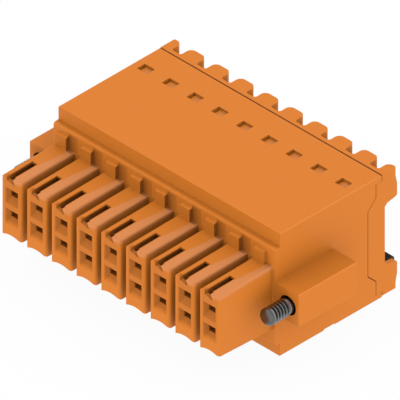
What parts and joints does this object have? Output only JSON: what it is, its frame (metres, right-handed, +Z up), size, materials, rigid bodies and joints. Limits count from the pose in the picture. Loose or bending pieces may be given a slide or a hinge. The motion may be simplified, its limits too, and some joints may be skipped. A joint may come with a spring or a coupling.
{
  "type": "two-row pluggable socket header",
  "caption": "Pluggable two-row socket header with push-in wire clamps, open mating fingers, black release pushers and screw flanges",
  "frame": {"origin": "centre of the overall box, on the plane of the underside", "axes": "+X along the row of poles, +Y towards the wire side, -Y towards the mating fingers, +Z up"},
  "size_m": [0.0382, 0.0252, 0.015],
  "materials": {
    "housing_plastic": "satin moulded polyamide",
    "cover_plastic": "satin moulded polyamide",
    "pusher_plastic": "satin",
    "tinned_copper": "satin tin plate",
    "spring_steel": "bright rolled strip",
    "screw_steel": "zinc plated"
  },
  "bodies": {
    "root": {"housing": "housing_plastic", "rear_cover": "cover_plastic", "contact_upper_1": "tinned_copper", "contact_upper_2": "tinned_copper", "contact_upper_3": "tinned_copper", "contact_upper_4": "tinned_copper", "contact_upper_5": "tinned_copper", "contact_upper_6": "tinned_copper", "contact_upper_7": "tinned_copper", "contact_upper_8": "tinned_copper", "contact_upper_9": "tinned_copper", "contact_lower_1": "tinned_copper", "contact_lower_2": "tinned_copper", "contact_lower_3": "tinned_copper", "contact_lower_4": "tinned_copper", "contact_lower_5": "tinned_copper", "contact_lower_6": "tinned_copper", "contact_lower_7": "tinned_copper", "contact_lower_8": "tinned_copper", "contact_lower_9": "tinned_copper", "clamp_spring_upper_1": "spring_steel", "clamp_spring_upper_2": "spring_steel", "clamp_spring_upper_3": "spring_steel", "clamp_spring_upper_4": "spring_steel", "clamp_spring_upper_5": "spring_steel", "clamp_spring_upper_6": "spring_steel", "clamp_spring_upper_7": "spring_steel", "clamp_spring_upper_8": "spring_steel", "clamp_spring_upper_9": "spring_steel", "clamp_spring_lower_1": "spring_steel", "clamp_spring_lower_2": "spring_steel", "clamp_spring_lower_3": "spring_steel", "clamp_spring_lower_4": "spring_steel", "clamp_spring_lower_5": "spring_steel", "clamp_spring_lower_6": "spring_steel", "clamp_spring_lower_7": "spring_steel", "clamp_spring_lower_8": "spring_steel", "clamp_spring_lower_9": "spring_steel"},
    "pusher_upper_1": {"pusher_upper_1": "pusher_plastic"},
    "pusher_upper_2": {"pusher_upper_2": "pusher_plastic"},
    "pusher_upper_3": {"pusher_upper_3": "pusher_plastic"},
    "pusher_upper_4": {"pusher_upper_4": "pusher_plastic"},
    "pusher_upper_5": {"pusher_upper_5": "pusher_plastic"},
    "pusher_upper_6": {"pusher_upper_6": "pusher_plastic"},
    "pusher_upper_7": {"pusher_upper_7": "pusher_plastic"},
    "pusher_upper_8": {"pusher_upper_8": "pusher_plastic"},
    "pusher_upper_9": {"pusher_upper_9": "pusher_plastic"},
    "pusher_lower_1": {"pusher_lower_1": "pusher_plastic"},
    "pusher_lower_2": {"pusher_lower_2": "pusher_plastic"},
    "pusher_lower_3": {"pusher_lower_3": "pusher_plastic"},
    "pusher_lower_4": {"pusher_lower_4": "pusher_plastic"},
    "pusher_lower_5": {"pusher_lower_5": "pusher_plastic"},
    "pusher_lower_6": {"pusher_lower_6": "pusher_plastic"},
    "pusher_lower_7": {"pusher_lower_7": "pusher_plastic"},
    "pusher_lower_8": {"pusher_lower_8": "pusher_plastic"},
    "pusher_lower_9": {"pusher_lower_9": "pusher_plastic"},
    "screw_left": {"flange_screw_left": "screw_steel"},
    "screw_right": {"flange_screw_right": "screw_steel"}
  },
  "joints": [
    {"name": "press_upper_1", "type": "slide", "parent": "root", "child": "pusher_upper_1", "axis": [0, -1, 0], "range_m": [0, 0.001], "stiffness_N_per_m": 150, "springref_m": -0.0005, "deforming": ["clamp_spring_upper_1"]},
    {"name": "press_upper_2", "type": "slide", "parent": "root", "child": "pusher_upper_2", "axis": [0, -1, 0], "range_m": [0, 0.001], "stiffness_N_per_m": 150, "springref_m": -0.0005, "deforming": ["clamp_spring_upper_2"]},
    {"name": "press_upper_3", "type": "slide", "parent": "root", "child": "pusher_upper_3", "axis": [0, -1, 0], "range_m": [0, 0.001], "stiffness_N_per_m": 150, "springref_m": -0.0005, "deforming": ["clamp_spring_upper_3"]},
    {"name": "press_upper_4", "type": "slide", "parent": "root", "child": "pusher_upper_4", "axis": [0, -1, 0], "range_m": [0, 0.001], "stiffness_N_per_m": 150, "springref_m": -0.0005, "deforming": ["clamp_spring_upper_4"]},
    {"name": "press_upper_5", "type": "slide", "parent": "root", "child": "pusher_upper_5", "axis": [0, -1, 0], "range_m": [0, 0.001], "stiffness_N_per_m": 150, "springref_m": -0.0005, "deforming": ["clamp_spring_upper_5"]},
    {"name": "press_upper_6", "type": "slide", "parent": "root", "child": "pusher_upper_6", "axis": [0, -1, 0], "range_m": [0, 0.001], "stiffness_N_per_m": 150, "springref_m": -0.0005, "deforming": ["clamp_spring_upper_6"]},
    {"name": "press_upper_7", "type": "slide", "parent": "root", "child": "pusher_upper_7", "axis": [0, -1, 0], "range_m": [0, 0.001], "stiffness_N_per_m": 150, "springref_m": -0.0005, "deforming": ["clamp_spring_upper_7"]},
    {"name": "press_upper_8", "type": "slide", "parent": "root", "child": "pusher_upper_8", "axis": [0, -1, 0], "range_m": [0, 0.001], "stiffness_N_per_m": 150, "springref_m": -0.0005, "deforming": ["clamp_spring_upper_8"]},
    {"name": "press_upper_9", "type": "slide", "parent": "root", "child": "pusher_upper_9", "axis": [0, -1, 0], "range_m": [0, 0.001], "stiffness_N_per_m": 150, "springref_m": -0.0005, "deforming": ["clamp_spring_upper_9"]},
    {"name": "press_lower_1", "type": "slide", "parent": "root", "child": "pusher_lower_1", "axis": [0, -1, 0], "range_m": [0, 0.001], "stiffness_N_per_m": 150, "springref_m": -0.0005, "deforming": ["clamp_spring_lower_1"]},
    {"name": "press_lower_2", "type": "slide", "parent": "root", "child": "pusher_lower_2", "axis": [0, -1, 0], "range_m": [0, 0.001], "stiffness_N_per_m": 150, "springref_m": -0.0005, "deforming": ["clamp_spring_lower_2"]},
    {"name": "press_lower_3", "type": "slide", "parent": "root", "child": "pusher_lower_3", "axis": [0, -1, 0], "range_m": [0, 0.001], "stiffness_N_per_m": 150, "springref_m": -0.0005, "deforming": ["clamp_spring_lower_3"]},
    {"name": "press_lower_4", "type": "slide", "parent": "root", "child": "pusher_lower_4", "axis": [0, -1, 0], "range_m": [0, 0.001], "stiffness_N_per_m": 150, "springref_m": -0.0005, "deforming": ["clamp_spring_lower_4"]},
    {"name": "press_lower_5", "type": "slide", "parent": "root", "child": "pusher_lower_5", "axis": [0, -1, 0], "range_m": [0, 0.001], "stiffness_N_per_m": 150, "springref_m": -0.0005, "deforming": ["clamp_spring_lower_5"]},
    {"name": "press_lower_6", "type": "slide", "parent": "root", "child": "pusher_lower_6", "axis": [0, -1, 0], "range_m": [0, 0.001], "stiffness_N_per_m": 150, "springref_m": -0.0005, "deforming": ["clamp_spring_lower_6"]},
    {"name": "press_lower_7", "type": "slide", "parent": "root", "child": "pusher_lower_7", "axis": [0, -1, 0], "range_m": [0, 0.001], "stiffness_N_per_m": 150, "springref_m": -0.0005, "deforming": ["clamp_spring_lower_7"]},
    {"name": "press_lower_8", "type": "slide", "parent": "root", "child": "pusher_lower_8", "axis": [0, -1, 0], "range_m": [0, 0.001], "stiffness_N_per_m": 150, "springref_m": -0.0005, "deforming": ["clamp_spring_lower_8"]},
    {"name": "press_lower_9", "type": "slide", "parent": "root", "child": "pusher_lower_9", "axis": [0, -1, 0], "range_m": [0, 0.001], "stiffness_N_per_m": 150, "springref_m": -0.0005, "deforming": ["clamp_spring_lower_9"]},
    {"name": "turn_left", "type": "hinge", "parent": "root", "child": "screw_left", "pos_m": [-0.0175, 0, 0.0075], "axis": [0, 1, 0], "continuous": true},
    {"name": "turn_right", "type": "hinge", "parent": "root", "child": "screw_right", "pos_m": [0.0175, 0, 0.0075], "axis": [0, 1, 0], "continuous": true}
  ]
}
